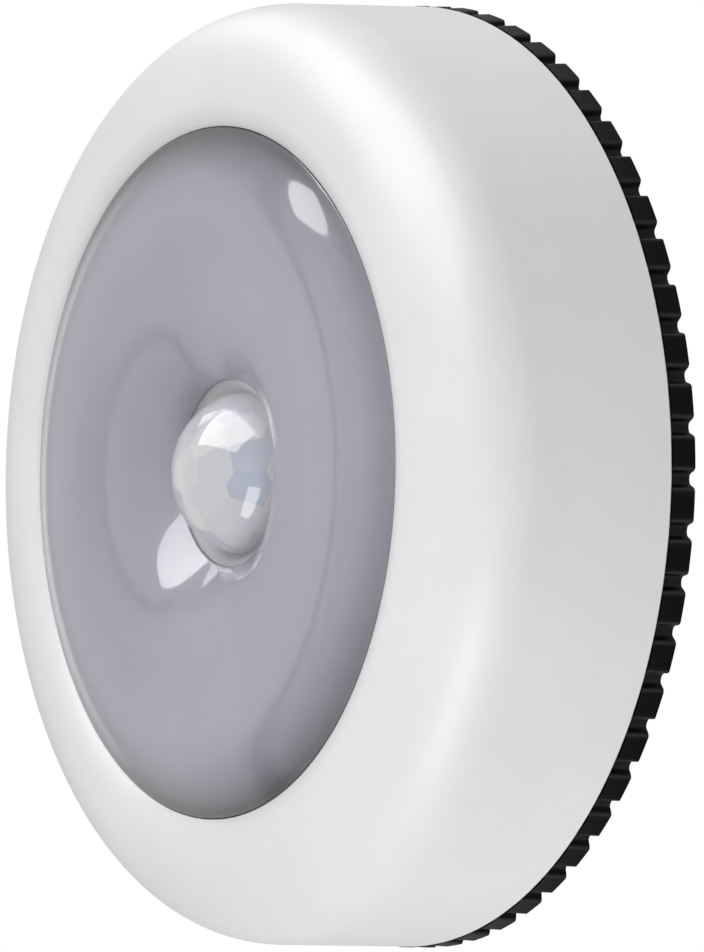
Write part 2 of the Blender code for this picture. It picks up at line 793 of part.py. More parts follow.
def make_contacts():
    """The contact strips and the coil springs behind the cells' flat ends."""
    contact("contact_plus", 0, 0, 1, True)
    contact("link_bottom", 0, 1, -1, False)
    contact("link_top", 1, 2, 1, False)
    contact("contact_minus", cell_count - 1, cell_count - 1, -1, True)
    route = spring_route()
    print(f"spring least gap to itself {least_gap(route) * 1000:.2f} mm")
    for index in range(cell_count):
        end = -cell_end(index)
        curve = bpy.data.curves.new(f"contact_spring_{index + 1}", "CURVE")
        curve.dimensions = "3D"
        curve.bevel_depth = spring_wire / 2
        curve.bevel_resolution = 1
        curve.use_fill_caps = True
        spline = curve.splines.new("POLY")
        spline.points.add(len(route) - 1)
        for point, (x, y, z) in zip(spline.points, route):
            point.co = (x, y, z, 1)
        seat = bay_length / 2 - plate_end - spring_wire / 2
        spring = place(f"contact_spring_{index + 1}", curve, lamp, "nickel",
                       (cell_x(index), end * seat, cell_axis))
        if end > 0:
            spring.rotation_euler.z = math.pi


clear_scene()
parts = new_collection("sensor_night_light")
tools = new_collection("cutters")
stand = empty("wall_frame")
stand.rotation_euler.x = math.pi / 2
lamp = empty("lamp_axis", stand)
make_base()
make_bezel()
make_diffuser()
make_lens()
make_reflector()
make_board()
make_switch()
make_tray()
make_screws()
make_cells()
make_contacts()
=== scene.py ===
"""Looks of the sensor night light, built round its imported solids, in metres.

The wall is the plane Y = 0 and the light looks along -Y. Turned pieces are drawn as outlines
of (radius, depth) points, where depth is measured forward from the wall, and spun about Y.
"""
import json
import math

import bmesh
import bpy
from mathutils import Matrix, Quaternion, Vector


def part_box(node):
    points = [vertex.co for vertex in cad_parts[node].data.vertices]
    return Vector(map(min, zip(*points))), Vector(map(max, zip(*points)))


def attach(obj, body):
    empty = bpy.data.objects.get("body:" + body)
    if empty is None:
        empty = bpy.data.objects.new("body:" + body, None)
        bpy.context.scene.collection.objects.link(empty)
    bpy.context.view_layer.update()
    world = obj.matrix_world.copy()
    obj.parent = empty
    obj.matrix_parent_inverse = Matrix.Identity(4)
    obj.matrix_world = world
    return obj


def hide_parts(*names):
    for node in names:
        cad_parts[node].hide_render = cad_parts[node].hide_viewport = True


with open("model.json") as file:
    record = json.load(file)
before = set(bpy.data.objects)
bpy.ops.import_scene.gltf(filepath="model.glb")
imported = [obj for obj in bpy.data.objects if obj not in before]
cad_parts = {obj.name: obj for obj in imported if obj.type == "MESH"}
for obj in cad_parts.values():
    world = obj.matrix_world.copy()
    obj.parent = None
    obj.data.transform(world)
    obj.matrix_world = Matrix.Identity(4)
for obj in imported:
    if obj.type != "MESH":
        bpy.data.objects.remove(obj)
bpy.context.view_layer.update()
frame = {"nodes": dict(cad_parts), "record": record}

# Sizes read from the frame
bezel_low, bezel_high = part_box("bezel")
base_low, base_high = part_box("base")
lens_low, lens_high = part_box("sensor_lens")
diffuser_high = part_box("diffuser")[1]
pad_low, pad_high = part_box("adhesive_pad")
bezel_radius = bezel_high.z
bezel_rear = -bezel_high.y
crown = -bezel_low.y
base_radius = base_high.z
base_rear = -base_high.y
flange_radius = diffuser_high.z
diffuser_rear = -diffuser_high.y
lens_apex = -lens_low.y
lens_rear = -lens_high.y
lens_flange_radius = lens_high.z
pad_radius = pad_high.z
pad_rear = -pad_high.y
pad_front = -pad_low.y
pad_thickness = pad_front - pad_rear

# The photograph's frame and view
frame_height_px = 952
focal_px = 4838.99
sensor_size = 36.0
camera_azimuth = math.radians(57.470)
camera_elevation = math.radians(0.361)
camera_roll = math.radians(1.360)
camera_distance = 0.44481
camera_aim = Vector((-0.0070082, -bezel_rear, -0.0001077))


# Objects, meshes and aiming

def add_object(name, data):
    """Puts a new object in the scene's own collection."""
    thing = bpy.data.objects.new(name, data)
    bpy.context.scene.collection.objects.link(thing)
    return thing


def add_piece(name, mesh, body, material, slot, *replaced):
    """Puts a finished mesh in the scene as a piece that rides on a body."""
    piece = add_object(name, mesh)
    mesh.materials.append(material)
    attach(piece, body)
    if replaced:
        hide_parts(*replaced)
    return piece


def to_mesh(name, shape):
    """Turns a bmesh into a mesh and frees it."""
    mesh = bpy.data.meshes.new(name)
    shape.to_mesh(mesh)
    shape.free()
    return mesh


def finish_mesh(name, shape, sharp_degrees=35.0):
    """Turns a bmesh into a smooth-shaded mesh whose real edges stay sharp."""
    mesh = to_mesh(name, shape)
    mesh.shade_smooth()
    mesh.set_sharp_from_angle(angle=math.radians(sharp_degrees))
    return mesh


def way_to(azimuth, elevation):
    """The unit vector from the object to a place, given its angles in radians from the front."""
    return Vector((math.sin(azimuth) * math.cos(elevation), -math.cos(azimuth) * math.cos(elevation),
                   math.sin(elevation)))


def face_object(thing, way, roll):
    """Turns a camera or lamp that lies along a unit vector to look back at the object."""
    thing.rotation_mode = "QUATERNION"
    thing.rotation_quaternion = way.to_track_quat("Z", "Y") @ Quaternion((0, 0, 1), roll)


# Outlines and shapes

weld = 0.000002


def arc(centre, radius, start, end, count):
    """Points along part of a circle, in degrees from +radius towards +depth."""
    points = []
    for i in range(count + 1):
        angle = math.radians(start + (end - start) * i / count)
        points.append((centre[0] + radius * math.cos(angle), centre[1] + radius * math.sin(angle)))
    return points


def rounded(corners, count=6):
    """An outline whose corners (radius, depth, fillet) are rounded where the fillet isn't zero."""
    points = []
    total = len(corners)
    for i, (r, d, fillet) in enumerate(corners):
        here = Vector((r, d))
        if not fillet:
            points.append((r, d))
            continue
        before = Vector(corners[i - 1][:2])
        after = Vector(corners[(i + 1) % total][:2])
        first = (before - here).normalized()
        second = (after - here).normalized()
        half = first.angle(second) / 2
        reach = fillet / math.tan(half)
        centre = here + (first + second).normalized() * (fillet / math.sin(half))
        start = here + first * reach - centre
        sweep = math.pi - 2 * half
        if start.x * second.y - start.y * second.x < 0:
            sweep = -sweep
        for k in range(count + 1):
            spoke = Matrix.Rotation(sweep * k / count, 2) @ start
            points.append(tuple(centre + spoke))
    return points


def made(result, kind, key="geom"):
    """The items of one kind among what a bmesh operator gives back."""
    return [item for item in result[key] if isinstance(item, kind)]


def whole(shape):
    """All the geometry of a bmesh, as its operators take it."""
    return shape.verts[:] + shape.edges[:] + shape.faces[:]


def spun(outline, steps, closed=True):
    """Spins an outline of (radius, depth) points about Y into a closed skin."""
    shape = bmesh.new()
    verts = [shape.verts.new((r, -d, 0)) for r, d in outline]
    edges = [shape.edges.new(pair) for pair in zip(verts, verts[1:])]
    if closed:
        edges.append(shape.edges.new((verts[-1], verts[0])))
    bmesh.ops.spin(shape, geom=verts + edges, cent=(0, 0, 0), axis=(0, 1, 0),
                   angle=2 * math.pi, steps=steps, use_merge=True)
    bmesh.ops.remove_doubles(shape, verts=shape.verts, dist=weld)
    bmesh.ops.recalc_face_normals(shape, faces=shape.faces)
    return shape


# Node helpers and shared effects

class Nodes:
    """A short way to add and link the nodes of one tree. Values are constants or outputs."""

    def __init__(self, tree):
        self.tree = tree

    def add(self, kind, **settings):
        """Adds a node and changes its settings."""
        node = self.tree.nodes.new(kind)
        for key, value in settings.items():
            setattr(node, key, value)
        return node

    def link(self, source, target):
        """Links an output to an input."""
        self.tree.links.new(source, target)

    def feed(self, node, **values):
        """Sets or links a node's inputs by name."""
        for key, value in values.items():
            self.give(node.inputs[key.replace("_", " ")], value)
        return node

    def give(self, socket, value):
        """Sets an input to a constant or links it to an output."""
        if isinstance(value, bpy.types.NodeSocket):
            self.link(value, socket)
        else:
            socket.default_value = value

    def math(self, operation, *values):
        """The result of a maths node."""
        node = self.add("ShaderNodeMath", operation=operation)
        for socket, value in zip(node.inputs, values):
            self.give(socket, value)
        return node.outputs["Value"]

    def vector(self, operation, *values):
        """The result of a vector maths node: a number for a length or a dot product."""
        node = self.add("ShaderNodeVectorMath", operation=operation)
        for socket, value in zip(node.inputs, values):
            self.give(socket, value)
        return node.outputs["Value" if operation in ("LENGTH", "DOT_PRODUCT") else "Vector"]

    def ramp(self, value, start, end, low=0.0, high=1.0, curve="LINEAR"):
        """A value taken from the range start to end over to the range low to high."""
        node = self.add("ShaderNodeMapRange", interpolation_type=curve)
        self.feed(node, Value=value, From_Min=start, From_Max=end, To_Min=low, To_Max=high)
        return node.outputs["Result"]

    def mix(self, factor, first, second, **settings):
        """A mix of two colours, or of two values of another data type."""
        node = self.add("ShaderNodeMix", **{"data_type": "RGBA", **settings})
        return self.feed(node, Factor=factor, A=first, B=second).outputs["Result"]

    def split(self, vector):
        """The three parts of a vector."""
        node = self.feed(self.add("ShaderNodeSeparateXYZ"), Vector=vector)
        return node.outputs["X"], node.outputs["Y"], node.outputs["Z"]

    def place(self):
        """The place on the object, in its own coordinates."""
        return self.add("ShaderNodeTexCoord").outputs["Object"]


def new_group(name, inputs, outputs):
    """Starts a shader node group with named sockets and gives it with its two end nodes."""
    tree = bpy.data.node_groups.new(name, "ShaderNodeTree")
    for key, kind, value in inputs:
        socket = tree.interface.new_socket(name=key, in_out="INPUT", socket_type=kind)
        if value is not None:
            socket.default_value = value
    for key, kind in outputs:
        tree.interface.new_socket(name=key, in_out="OUTPUT", socket_type=kind)
    nodes = Nodes(tree)
    return nodes, nodes.add("NodeGroupInput"), nodes.add("NodeGroupOutput")


def make_mottle():
    """Uneven colour: mixes two near shades by a soft noise."""
    nodes, start, end = new_group(
        "mottle",
        [("Light", "NodeSocketColor", (1, 1, 1, 1)), ("Dark", "NodeSocketColor", (0.9, 0.9, 0.9, 1)),
         ("Size", "NodeSocketFloat", 60.0)],
        [("Color", "NodeSocketColor")])
    noise = nodes.feed(nodes.add("ShaderNodeTexNoise"), Vector=nodes.place(), Scale=start.outputs["Size"],
                       Detail=4.0, Roughness=0.6)
    patches = nodes.ramp(noise.outputs["Fac"], 0.35, 0.65)
    nodes.feed(end, Color=nodes.mix(patches, start.outputs["Dark"], start.outputs["Light"]))
    return nodes.tree


def make_moulded_grain():
    """The fine spark-eroded grain of moulded plastic, as a height and a roughness."""
    nodes, start, end = new_group(
        "moulded_grain",
        [("Size", "NodeSocketFloat", 4000.0), ("Roughness", "NodeSocketFloat", 0.4),
         ("Spread", "NodeSocketFloat", 0.08)],
        [("Height", "NodeSocketFloat"), ("Roughness", "NodeSocketFloat")])
    place = nodes.place()
    grain = nodes.feed(nodes.add("ShaderNodeTexNoise"), Vector=place, Scale=start.outputs["Size"],
                       Detail=2.0)
    soft = nodes.feed(nodes.add("ShaderNodeTexNoise"), Vector=place, Scale=90.0, Detail=3.0)
    change = nodes.math("MULTIPLY", nodes.math("SUBTRACT", soft.outputs["Fac"], 0.5),
                        start.outputs["Spread"])
    roughness = nodes.math("ADD", change, start.outputs["Roughness"])
    nodes.feed(end, Height=grain.outputs["Fac"], Roughness=roughness)
    return nodes.tree


mottle_group = make_mottle()
grain_group = make_moulded_grain()


# Materials

def new_material(name, **constants):
    """Starts a material and sets the shader's constant sockets."""
    material = bpy.data.materials.new(name)
    material.use_nodes = True
    nodes = Nodes(material.node_tree)
    shader = nodes.feed(material.node_tree.nodes["Principled BSDF"], **constants)
    return material, nodes, shader


def use_group(nodes, tree, **values):
    """Places a node group and sets its inputs."""
    return nodes.feed(nodes.add("ShaderNodeGroup", node_tree=tree), **values)


def mottled(nodes, light, dark, size):
    """A slightly uneven colour between two near shades."""
    group = use_group(nodes, mottle_group, Light=(*light, 1), Dark=(*dark, 1), Size=size)
    return group.outputs["Color"]


def add_bump(nodes, shader, height, depth):
    """Gives a shader fine relief of a depth in metres."""
    bump = nodes.feed(nodes.add("ShaderNodeBump"), Distance=depth, Height=height)
    nodes.feed(shader, Normal=bump.outputs["Normal"])


def add_grain(nodes, shader, grain, roughness, spread, depth=None):
    """Gives a shader the grain's uneven roughness and, with a depth, its relief."""
    surface = use_group(nodes, grain_group, Size=grain, Roughness=roughness, Spread=spread)
    nodes.feed(shader, Roughness=surface.outputs["Roughness"])
    if depth:
        add_bump(nodes, shader, surface.outputs["Height"], depth)


def grained(name, light, dark, roughness, grain=4000.0, depth=0.000004, spread=0.08, mottle=60.0,
            **constants):
    """A surface with fine grain and a slightly uneven colour, as moulded plastic and plate have."""
    material, nodes, shader = new_material(name, **constants)
    nodes.feed(shader, Base_Color=mottled(nodes, light, dark, mottle))
    add_grain(nodes, shader, grain, roughness, spread, depth)
    return material


white_plastic = grained("white_plastic", (0.82, 0.812, 0.81), (0.79, 0.782, 0.78), 0.42,
                        depth=0.000003, Specular_IOR_Level=0.35)
black_plastic = grained("black_plastic", (0.0075, 0.0075, 0.008), (0.0055, 0.0055, 0.006), 0.38,
                        depth=0.000005, Specular_IOR_Level=0.16)


def make_grip_plastic():
    """Dull black plastic with painted highlights: paler bands where the ribs and notches catch light."""
    material, nodes, shader = new_material("grip_plastic", Specular_IOR_Level=0.05)
    painted_highlight = nodes.add("ShaderNodeAttribute", attribute_name="rib_painted_highlight").outputs["Fac"]
    dull = mottled(nodes, (0.0034, 0.0034, 0.0036), (0.0024, 0.0024, 0.0026), 300.0)
    # Painted highlight: the attribute lightens the bands where the ribs' edges and notches catch
    # reflections
    nodes.feed(shader, Base_Color=nodes.mix(painted_highlight, dull, (0.030, 0.030, 0.031, 1)))
    add_grain(nodes, shader, grain=4000.0, roughness=0.42, spread=0.08, depth=0.000005)
    return material


grip_plastic = make_grip_plastic()
tray_plastic = grained("tray_plastic", (0.72, 0.72, 0.71), (0.68, 0.68, 0.67), 0.5, depth=0.000006)
reflector_white = grained("reflector_white", (0.86, 0.86, 0.85), (0.83, 0.83, 0.82), 0.22,
                          depth=0.000002, spread=0.05)
chip_black = grained("chip_black", (0.022, 0.022, 0.023), (0.016, 0.016, 0.017), 0.55, grain=9000.0,
                     depth=0.000006, mottle=400.0)
led_yellow = grained("led_yellow", (0.88, 0.72, 0.18), (0.80, 0.62, 0.12), 0.28, grain=6000.0,
                     mottle=900.0)
dark_window = grained("dark_window", (0.032, 0.018, 0.030), (0.024, 0.014, 0.024), 0.08, grain=3000.0,
                      depth=0.000001, spread=0.03)
clear_resin = grained("clear_resin", (0.72, 0.77, 0.82), (0.62, 0.69, 0.76), 0.06, grain=900.0,
                      depth=0.000002, spread=0.03, mottle=700.0, IOR=1.53)


def make_foam():
    """Closed-cell foam with fine pores at its cut edge, between two smooth adhesive films."""
    material, nodes, shader = new_material("foam")
    place = nodes.place()
    depth = nodes.split(place)[1]
    off_middle = nodes.math("ABSOLUTE", nodes.math("ADD", depth, pad_thickness / 2))
    film = nodes.math("GREATER_THAN", off_middle, pad_thickness / 2 - pad_film)
    pores = nodes.feed(nodes.add("ShaderNodeTexVoronoi"), Vector=place, Scale=4200.0)
    cell = nodes.mix(pores.outputs["Distance"], (0.36, 0.37, 0.38, 1), (0.66, 0.67, 0.67, 1))
    sheet = mottled(nodes, (0.70, 0.71, 0.70), (0.65, 0.66, 0.66), 70.0)
    nodes.feed(shader, Base_Color=nodes.mix(film, cell, sheet),
               Roughness=nodes.ramp(film, 0.0, 1.0, 0.9, 0.4))
    height = nodes.math("MULTIPLY", pores.outputs["Distance"], nodes.math("SUBTRACT", 1.0, film))
    add_bump(nodes, shader, height, 0.00003)
    return material


def make_board():
    """Green solder resist, with the copper tracks showing through it as a paler green."""
    material, nodes, shader = new_material("board_green")
    turned = nodes.feed(nodes.add("ShaderNodeMapping"), Vector=nodes.place(),
                        Rotation=(math.pi / 2, 0, 0))
    black = (0, 0, 0, 1)
    tracks = nodes.feed(nodes.add("ShaderNodeTexBrick"), Vector=turned.outputs["Vector"], Scale=130.0,
                        Mortar_Size=0.045, Mortar_Smooth=0.1, Color1=black, Color2=black,
                        Mortar=(1, 1, 1, 1))
    resist = mottled(nodes, (0.014, 0.125, 0.048), (0.010, 0.100, 0.038), 240.0)
    over_copper = (0.030, 0.215, 0.070, 1)
    nodes.feed(shader, Base_Color=nodes.mix(tracks.outputs["Color"], resist, over_copper))
    add_grain(nodes, shader, grain=5000.0, roughness=0.3, spread=0.1)
    add_bump(nodes, shader, tracks.outputs["Color"], 0.00003)
    return material


def make_cell_jacket():
    """Plain dark blue sleeves, and bare metal at both ends of each cell."""
    material, nodes, shader = new_material("cell_jacket")
    across, _, up = nodes.split(nodes.place())
    outer = nodes.math("GREATER_THAN", nodes.math("ABSOLUTE", across), outer_cells_from)
    towards_plus = nodes.math("MULTIPLY", up, nodes.ramp(outer, 0.0, 1.0, -1.0, 1.0))
    bare = nodes.math("MAXIMUM", nodes.math("GREATER_THAN", towards_plus, sleeve_plus_end),
                      nodes.math("LESS_THAN", towards_plus, sleeve_minus_end))
    sleeve = mottled(nodes, (0.030, 0.055, 0.130), (0.024, 0.045, 0.110), 90.0)
    nodes.feed(shader, Base_Color=nodes.mix(bare, sleeve, (0.66, 0.65, 0.62, 1)), Metallic=bare)
    add_grain(nodes, shader, grain=3000.0, roughness=0.3, spread=0.1)
    return material


pad_film = 0.00012
# The outer two cells lie the other way round, and the sleeve ends at these heights from the middle
outer_cells_from = 0.0055
sleeve_plus_end = 0.0228
sleeve_minus_end = -0.0196
foam = make_foam()
nickel = grained("nickel", (0.70, 0.68, 0.64), (0.62, 0.60, 0.56), 0.26, grain=2600.0,
                 depth=0.000003, spread=0.12, mottle=180.0, Metallic=1.0)
board_green = make_board()
cell_jacket = make_cell_jacket()

# Painted shade on the diffuser: over which radii it darkens at its sides and at its top and bottom
side_shade = (0.0268, 0.0308)
side_shade_most = 0.35
top_shade = (0.0225, 0.0300)
top_shade_power = 2.2
shade_axis = (-0.17, 0, 0.985)
# How flat a lens cell looks, and over which share of the way from its edge it gets so
cell_flatness = 0.85
cell_edge_blend = 0.014


def make_milky_plastic():
    """Glossy lilac-grey plastic with painted shade at the rim, where the bezel keeps the light out of it.
    """
    material, nodes, shader = new_material(
        "milky_plastic", Roughness=0.34, IOR=1.5, Coat_Weight=1.0, Coat_Roughness=0.05,
        Specular_IOR_Level=0.35, Subsurface_Weight=1.0, Subsurface_Scale=0.0015,
        Subsurface_Radius=(1, 1, 1))
    flat = nodes.vector("MULTIPLY", nodes.place(), (1, 0, 1))
    radius = nodes.vector("LENGTH", flat)
    at_sides = nodes.ramp(radius, *side_shade, high=side_shade_most, curve="SMOOTHSTEP")
    at_top = nodes.math("POWER", nodes.ramp(radius, *top_shade), top_shade_power)
    upright = nodes.vector("DOT_PRODUCT", nodes.vector("NORMALIZE", flat), shade_axis)
    topness = nodes.math("POWER", nodes.math("ABSOLUTE", upright), 2.0)
    # Painted shade: darker towards the rim, most at its top and bottom
    painted_rim_shade = nodes.mix(topness, at_sides, at_top, data_type="FLOAT")
    cloud = mottled(nodes, (0.368, 0.357, 0.414), (0.350, 0.342, 0.400), 55.0)
    nodes.feed(shader, Base_Color=nodes.mix(painted_rim_shade, cloud, (0.045, 0.044, 0.050, 1)))
    return material


def make_lens_plastic():
    """Milky lens plastic: the flat cells inside show through a smooth, glossy skin."""
    material, nodes, shader = new_material(
        "lens_plastic", Roughness=0.3, IOR=1.5, Coat_Weight=1.0, Coat_Roughness=0.02,
        Specular_IOR_Level=0.06, Subsurface_Weight=0.25, Subsurface_Scale=0.002,
        Subsurface_Radius=(1, 1, 1))
    inside = nodes.add("ShaderNodeAttribute", attribute_name="cell_inside").outputs["Fac"]
    flatness = nodes.ramp(inside, 0.0, cell_edge_blend, high=cell_flatness, curve="SMOOTHSTEP")
    facet = nodes.add("ShaderNodeAttribute", attribute_name="cell_normal").outputs["Vector"]
    to_world = nodes.add("ShaderNodeVectorTransform", vector_type="NORMAL", convert_from="OBJECT",
                         convert_to="WORLD")
    flat_normal = nodes.feed(to_world, Vector=facet).outputs["Vector"]
    round_normal = nodes.add("ShaderNodeNewGeometry").outputs["Normal"]
    blend = nodes.mix(flatness, round_normal, flat_normal, data_type="VECTOR")
    # Painted shade: the listed cells are darkened and blued as if the dark inside showed through
    tone_and_shade = nodes.add("ShaderNodeAttribute", attribute_name="cell_tone_and_shade").outputs["Fac"]
    shade = nodes.mix(tone_and_shade, (1, 1, 1, 1), (0.70, 0.78, 0.89, 1))
    cloud = mottled(nodes, (0.68, 0.66, 0.665), (0.63, 0.615, 0.63), 220.0)
    nodes.feed(shader, Normal=nodes.vector("NORMALIZE", blend),
               Base_Color=nodes.mix(1.0, cloud, shade, blend_type="MULTIPLY"))
    return material


milky_plastic = make_milky_plastic()
lens_plastic = make_lens_plastic()
collar_plastic = grained("collar_plastic", (0.82, 0.80, 0.81), (0.78, 0.765, 0.775), 0.6,
                         depth=0.000001, Specular_IOR_Level=0.1, Subsurface_Weight=0.6,
                         Subsurface_Scale=0.002, Subsurface_Radius=(1, 1, 1))


# Bezel

bezel_wall = 0.0016
bezel_skirt = 0.0001
side_height = 0.01258
side_draft = 0.0006
corner_width = 0.00893
corner_power = 2.1
lip_radius = 0.03063
lip_drop = 0.00087
lip_thickness = 0.0015
lip_round = 0.00016
# How the lip rounds off: shares of lip_round outward and to the rear
lip_shape = ((0.3, 0.02), (0.08, 0.25), (0.0, 1.0))
bezel_steps = 256
rear_edge = 0.00015
boss_count = 3
boss_turn = math.radians(30)
boss_place = 0.0360
boss_radius = 0.0025
boss_hole = 0.0014
boss_rear = 0.01534
boss_front = crown - 0.002
boss_edge = 0.0002
boss_sink = 0.0005
boss_steps = 32


def depth_at(outline, radius):
    """The depth of a falling outline at a radius, between its two nearest points."""
    for (r0, d0), (r1, d1) in zip(outline, outline[1:]):
        if r1 <= radius <= r0 and r0 > r1:
            return d0 + (d1 - d0) * (r0 - radius) / (r0 - r1)
    return outline[-1][1]


def bezel_curve(radius, front, lip, corner_points, roll_points):
    """Runs up the bezel's side, round its corner and in to the lip."""
    top = radius - side_draft
    width = corner_width - (bezel_radius - radius)
    side_top = bezel_rear + side_height
    points = []
    for i in range(corner_points + 1):
        angle = math.pi / 2 * i / corner_points
        out = max(math.cos(angle), 0.0) ** (2 / corner_power)
        rise = math.sin(angle) ** (2 / corner_power)
        points.append((top - width + width * out, side_top + (front - side_top) * rise))
    crown_radius = top - width
    for i in range(1, roll_points + 1):
        inward = i / roll_points
        points.append((crown_radius + (lip_radius - crown_radius) * inward,
                       front + (lip - front) * inward ** 2))
    return points


def boss_shape(place, ceiling):
    """A screw boss whose front end is drawn out until it's sunk in the shell's inside."""
    outline = rounded([(boss_hole, boss_rear, 0), (boss_radius, boss_rear, boss_edge),
                       (boss_radius, boss_front, 0), (boss_hole, boss_front, 0)], count=3)
    boss = spun(outline, boss_steps)
    for vert in boss.verts:
        vert.co += place
        if -vert.co.y > boss_front - weld:
            vert.co.y = -(depth_at(ceiling, math.hypot(vert.co.x, vert.co.z)) + boss_sink)
    return boss


def make_bezel():
    """The white front shell with its screw bosses."""
    lip = crown - lip_drop
    outside = bezel_curve(bezel_radius, crown, lip, corner_points=28, roll_points=10)
    inside = bezel_curve(bezel_radius - bezel_wall, crown - bezel_wall, lip - lip_thickness,
                         corner_points=14, roll_points=5)
    foot = bezel_rear - bezel_skirt
    rear = [(bezel_radius - bezel_wall, foot), (bezel_radius - rear_edge, foot),
            (bezel_radius, foot + rear_edge)]
    lip_top = outside[-1][1]
    lip_points = [(lip_radius + lip_round * out, lip_top - lip_round * down) for out, down in lip_shape]
    shape = spun(rear + outside[:-1] + lip_points + inside[::-1], bezel_steps)
    for i in range(boss_count):
        angle = boss_turn + 2 * math.pi * i / boss_count
        place = Vector((boss_place * math.cos(angle), 0, boss_place * math.sin(angle)))
        boss = to_mesh("boss", boss_shape(place, inside))
        shape.from_mesh(boss)
        bpy.data.meshes.remove(boss)
    add_piece("bezel_shell", finish_mesh("bezel_shell", shape), "lamp", white_plastic,
              "white_plastic", "bezel")


# Base

rib_count = 61
rib_phase = math.radians(0.75)
# From the middle of a notch to the middle of a rib: mm across, mm cut in, share painted pale as a
# highlight
rib_stations = ((0.0, 0.84, 0.45), (0.18, 0.83, 0.45), (0.32, 0.79, 0.75), (0.44, 0.71, 0.75),
                (0.53, 0.57, 0.1), (0.60, 0.41, 0.0), (0.67, 0.26, 0.0), (0.74, 0.15, 0.6),
                (0.82, 0.075, 1.0), (0.90, 0.025, 1.0), (0.98, 0.0, 0.5), (1.12, 0.0, 0.05),
                (1.50, 0.0, 0.0), (2.197, 0.0, 0.0))
# The pale share on the rest of the band, an even tone
body_pale_share = 0.3
black_edge_degrees = 32
base_edge = 0.00038
band_gap = 0.00004
band_overhang = 0.00038
seam_radius = 0.0386
seam_round = 0.00022
plate_gap = 0.0003
plate_front = bezel_rear - plate_gap
spigot_inner = 0.0351
spigot_radius = 0.0367
base_lug_radius = 0.0381
base_front = -base_low.y
lug_rear = 0.00454
lug_count = 3
lug_span = math.radians(20.0)
lug_play = math.radians(0.6)
stop_span = math.radians(4.0)
sector_steps = 8
plate_soft = 0.0002
recess_radius = 0.0248
recess_depth = 0.0008
recess_rim = 0.0011
rear_band = 0.0022
rear_relief = 0.0002
screw_hole_place = 0.0300
screw_hole_radius = 0.0021
screw_sink_radius = 0.0038
screw_sink_depth = 0.0011
screw_hole_flare = 0.0003
cutter_reach = 0.001
cutter_steps = 48
plate_steps = 192


def rib_offsets():
    """One rib pitch as (angle, cut, polish) steps: half a rib, a notch and half a rib."""
    half = [(across / 1000 / base_radius, cut / 1000, highlight_share) for across, cut, highlight_share in rib_stations]
    before = [(-angle, cut, highlight_share) for angle, cut, highlight_share in half[:0:-1]]
    return before + half[:-1]


def make_grip_band():
    """The black grip band: a spun ring whose steps are moved onto the ribs and notches."""
    offsets = rib_offsets()
    steps = rib_count * len(offsets)
    front = bezel_rear - bezel_skirt - band_gap
    rear = base_rear - band_overhang
    outline = rounded([(base_radius, front, base_edge / 4), (base_radius, rear, base_edge),
                       (seam_radius, rear, seam_round), (seam_radius, front, 0)], count=4)
    shape = spun(outline, steps)
    highlight_layer = shape.verts.layers.float.new("rib_painted_highlight")
    pitch = 2 * math.pi / rib_count
    for vert in shape.verts:
        radius = math.hypot(vert.co.x, vert.co.z)
        angle = math.atan2(vert.co.z, vert.co.x) % (2 * math.pi)
        number = round(angle / (2 * math.pi) * steps)
        rib, step = divmod(number, len(offsets))
        offset, cut, highlight_share = offsets[step]
        outer = radius > base_radius - 2 * base_edge
        # Painted highlight on the ribs, an even pale share on the rest of the band
        vert[highlight_layer] = highlight_share if outer else body_pale_share
        turned_to = rib_phase + rib * pitch + offset
        reach = radius - cut if outer else radius
        vert.co.x = reach * math.cos(turned_to)
        vert.co.z = reach * math.sin(turned_to)
    add_piece("grip_band", finish_mesh("grip_band", shape, black_edge_degrees), "base",
              grip_plastic, "black_plastic", "base")


def sector(shape, start, end, rear, front):
    """Adds a block to a shape: a sector of the ring from the spigot out to the lugs' reach."""
    corners = []
    for radius, order in ((base_lug_radius, range(sector_steps + 1)),
                          (spigot_radius - plate_soft, range(sector_steps, -1, -1))):
        for i in order:
            angle = start + (end - start) * i / sector_steps
            corners.append(shape.verts.new((radius * math.cos(angle), -rear, radius * math.sin(angle))))
    grown = bmesh.ops.extrude_face_region(shape, geom=[shape.faces.new(corners)])
    bmesh.ops.translate(shape, vec=(0, rear - front, 0), verts=made(grown, bmesh.types.BMVert))


def make_base_plate():
    """The plate inside the grip band, with its pad recess, spigot, lugs, stops and screw holes."""
    soft = plate_soft
    recess_floor = base_rear + recess_depth
    relief = base_rear + rear_relief
    outline = rounded([
        (0, recess_floor, 0), (recess_radius, recess_floor, 0),
        (recess_radius, base_rear, soft), (recess_radius + recess_rim, base_rear, soft),
        (recess_radius + recess_rim, relief, soft / 2), (seam_radius - rear_band, relief, soft / 2),
        (seam_radius - rear_band, base_rear, soft), (seam_radius, base_rear, seam_round),
        (seam_radius, plate_front, 0), (spigot_radius, plate_front, soft),
        (spigot_radius, base_front, soft), (spigot_inner, base_front, soft),
        (spigot_inner, plate_front, soft), (0, plate_front, 0)], count=3)
    shape = spun(outline, plate_steps, closed=False)
    for i in range(lug_count):
        start = math.pi / 2 + 2 * math.pi * i / lug_count - lug_span / 2
        sector(shape, start, start + lug_span, lug_rear, base_front)
        stop = start - lug_play
        sector(shape, stop - stop_span, stop, plate_front - soft, base_front - soft)
    bmesh.ops.recalc_face_normals(shape, faces=shape.faces)
    piece = add_piece("base_plate", finish_mesh("base_plate", shape, black_edge_degrees), "base",
                      black_plastic, "black_plastic", "base")
    flare_radius = screw_hole_radius + screw_hole_flare
    for side in (-1, 1):
        cutter = spun([
            (0, plate_front + cutter_reach), (screw_sink_radius, plate_front + cutter_reach),
            (screw_sink_radius, plate_front), (screw_hole_radius, plate_front - screw_sink_depth),
            (screw_hole_radius, base_rear + screw_hole_flare), (flare_radius, base_rear),
            (flare_radius, base_rear - cutter_reach), (0, base_rear - cutter_reach)],
            cutter_steps, closed=False)
        bmesh.ops.translate(cutter, vec=(side * screw_hole_place, 0, 0), verts=cutter.verts)
        cut_away(piece, cutter)


